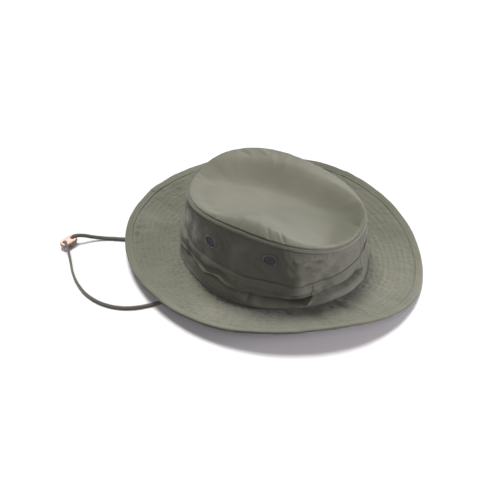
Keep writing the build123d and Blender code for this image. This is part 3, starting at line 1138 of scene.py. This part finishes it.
def add_side():
    spans = ((0, 0.24, 30), (0.24, 0.56, 12), (0.56, 0.82, 17), (0.82, 1, 18))
    shares = np.concatenate([np.linspace(a, b, n, endpoint=False) for a, b, n in spans] + [[1]])
    grid_angle, grid_share = np.meshgrid(round_angles(SIDE_COLUMNS), shares)
    points = side_at(grid_angle, grid_share).reshape(-1, 3)
    faces = cut_vents(points, np.array(grid_faces(len(shares), SIDE_COLUMNS)))
    used = np.unique(faces)
    renumber = np.zeros(len(points), int)
    renumber[used] = np.arange(len(used))
    side = to_object("side_cloth", points[used], renumber[faces], cloth)
    cloth_attribute(side, round_cloth(0.09, 0.085)(grid_angle, grid_share, points)[used])
    thicken(side, CLOTH)
    piece(side, "cloth", "crown_side_left", "crown_side_right")
    # Near-black stitches in the top seam's groove: partly the seam's real thread, partly painted
    # shade that draws the crease as a dark line.
    seam = row_on(side_at, side_row(down=0.9 * MM), 2.0 * MM)
    stitching("top_seam_painted_shade_thread", [seam], dark_thread_and_seam_shade, length=2.1 * MM)
    lines = [side_row(down=WELT + 0.4 * MM), side_row(up=2.4 * MM), side_row(up=4.6 * MM)]
    lines += [cross_line(seam + off, 0.08, 0.92) for seam in SIDE_SEAMS for off in (-2.2, 2.2)]
    stitches = stitching("side_stitches", [row_on(side_at, line, 2.7 * MM) for line in lines])


def add_top():
    shares = np.concatenate([[0], np.linspace(0.02, 0.82, 48), np.linspace(0.83, 1, 46)])
    top = sheet("top_cloth", top_at, shares, round_angles(TOP_COLUMNS), flat_cloth, cloth, -CLOTH)
    piece(top, "cloth", "crown_top")


def bar_tack(angle):
    """Threads side by side down the band at one angle, each across it."""
    rows = []
    for share in np.linspace(0.08, 0.9, 24)[:, None]:
        centre = band_at(angle, share)
        along = unit(band_at(angle + 0.001, share) - centre)
        away = unit(band_at(angle, share + 0.001) - centre)
        rows.append((centre, along, -np.cross(along, away)))
    return rows


def add_band():
    flat = round_cloth(0.092, 0.025)
    shares, around = np.linspace(0, 1, 36), round_angles(COLUMNS)
    strip = sheet("band_cloth", band_at, shares, around, flat, cloth, -0.9 * MM)
    piece(strip, "cloth", "foliage_band")
    rows = [row_on(band_at, ring_line(0.12), side=-1)]
    stitches = stitching("band_stitches", rows, length=2.1 * MM, radius=0.4 * MM)
    tacks = sum((bar_tack(np.array([angle])) for angle in tack_angles()), [])
    bars = stitching("band_bar_tacks", tacks, dark_thread_and_seam_shade, length=1.8 * MM, radius=0.25 * MM)
    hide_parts("band_tacks")


def tack_angles():
    """Where the CAD bar tacks stand round the crown."""
    points = node_points("band_tacks")
    angles = np.sort(np.arctan2(points[:, 1] - AXIS[1], points[:, 0] - AXIS[0]))
    groups = np.split(angles, np.where(np.diff(angles) > 10 * DEG)[0] + 1)
    return [group.mean() for group in groups if len(group) > 4]


# ---- inside the crown

def side_room(angle, height):
    """How far out the inside of the crown's side is at this height above the brim's seam."""
    _, zb, _, zt = crown_ends(angle)
    share = np.maximum((height - zb) / (zt - zb), 0)
    up = share * side_height(angle)
    reach = side_base(angle, share)[0] + side_swells(angle, share) * step(up, 0, 0.02)
    reach = reach + tuck(angle, up) * step(up, 0.002, 0.006) - 1.4 * MM
    return np.where(height > zb + 1.0 * MM, reach, 1.0)


def sweat_at(angle, share, out=0.0):
    """The sweatband: share 0 at its foot and 1 at its upper edge."""
    rl, zl = sweat_foot.at(angle)
    rh, zh = sweat_top.at(angle)
    sway = noise_sum(angle, (0.5, share * 2, 7, 51), (0.2, share * 3, 20, 52))
    up = share * SWEAT_TALL - 0.005
    pinch = waist(angle, up / side_height(angle)) - crumple(angle, TUCK) * bell(up - 0.015, 0.014)
    reach = rl + (rh - rl) * share + sway * MM * step(share, 0, 0.2) + pinch - 0.5 * MM
    height = zl + (zh - zl) * share
    room = np.minimum(side_room(angle, height - 0.7 * MM), side_room(angle, height + 0.7 * MM))
    return place_on(angle, np.minimum(reach, room) + out, height)


def add_sweatband():
    around, shares = round_angles(SWEAT_COLUMNS), np.linspace(0, 1, 22)
    flat = round_cloth(0.083, SWEAT_TALL)
    band = sheet("sweatband_cloth", sweat_at, shares, around, flat, lining_cloth, 1.0 * MM)
    piece(band, "lining", "sweatband")

    def inner(angle, share):
        return sweat_at(angle, share, -1.25 * MM)

    def label_at(angle, share):
        return sweat_at(angle, share, -1.6 * MM)

    rows = [row_on(inner, ring_line(share), 3.0 * MM, -1) for share in (0.07, 0.14, 0.93)]
    stitches = stitching("sweatband_stitches", rows)
    half = 17 * MM / 0.1
    span = np.linspace(math.pi / 2 - half, math.pi / 2 + half, 40)
    tall = np.linspace(9, 27, 20) / 34
    label = sheet("inner_label_cloth", label_at, tall, span, flat, label_cloth, 0.35 * MM, False)
    piece(label, "label", "inner_label")


# ---- vents

EYELET = [
    (6.0, -2.9), (6.0, 0.4), (6.08, 0.75), (6.35, 1.05), (6.75, 1.15), (7.15, 1.0),
    (7.45, 0.65), (7.5, 0.3), (7.3, 0.12), (6.75, 0.12), (6.6, -0.1), (6.6, -2.9),
]
WASHER = [(6.75, -1.9), (8.1, -1.95), (8.4, -1.7), (8.1, -1.45), (6.75, -1.4)]


def wire_screen(vent):
    """Woven wire: each wire goes over and under those that cross it."""
    reach, pitch, sides = 6.0 * MM, 0.72 * MM, 6
    count = int(reach / pitch)
    points, faces = [], []
    turns = np.arange(sides)[:, None] * TAU / sides
    for swap, (ahead, across) in enumerate(((vent.up, vent.along), (vent.along, vent.up))):
        ring = 0.17 * MM * (np.cos(turns) * across + np.sin(turns) * vent.axis)
        for k in range(-count, count + 1):
            half = math.sqrt(reach**2 - (k * pitch) ** 2)
            steps = max(8, int(half / pitch * 6))
            run = np.linspace(-half, half, steps)[:, None]
            sway = 0.16 * MM * np.cos(run / pitch * np.pi) * (1 if (k + swap) % 2 else -1)
            middle = vent.seat + run * ahead + k * pitch * across + (sway - 0.35 * MM) * vent.axis
            base = len(points)
            points.extend((middle[:, None] + ring).reshape(-1, 3))
            faces.extend(tuple(i + base for i in f) for f in grid_faces(steps, sides))
            faces.append(tuple(range(base, base + sides)))
            faces.append(tuple(range(len(points) - sides, len(points))))
    return points, faces


def add_vents():
    for vent in VENTS:
        ring = revolve("eyelet_" + vent.place, EYELET, vent, enamel)
        piece(ring, "eyelet", "vent_eyelet_" + vent.place)
        screen = to_object("screen_" + vent.place, *wire_screen(vent), wire)
        outward_faces(screen)
        piece(screen, "screen", "vent_screen_" + vent.place)
        washer = revolve("washer_" + vent.place, WASHER, vent, enamel)
        piece(washer, "eyelet", "vent_washer_" + vent.place)


def finish_slider():
    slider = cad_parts["cord_slider"]
    for place in slider.material_slots:
        place.material = leather


sweat_foot = Ring("sweatband", lowest_outer)
sweat_top = Ring("sweatband", highest)

add_cord()
add_tabs()
add_brim()
add_binding()
add_side()
add_top()
add_band()
add_sweatband()
add_vents()
finish_slider()
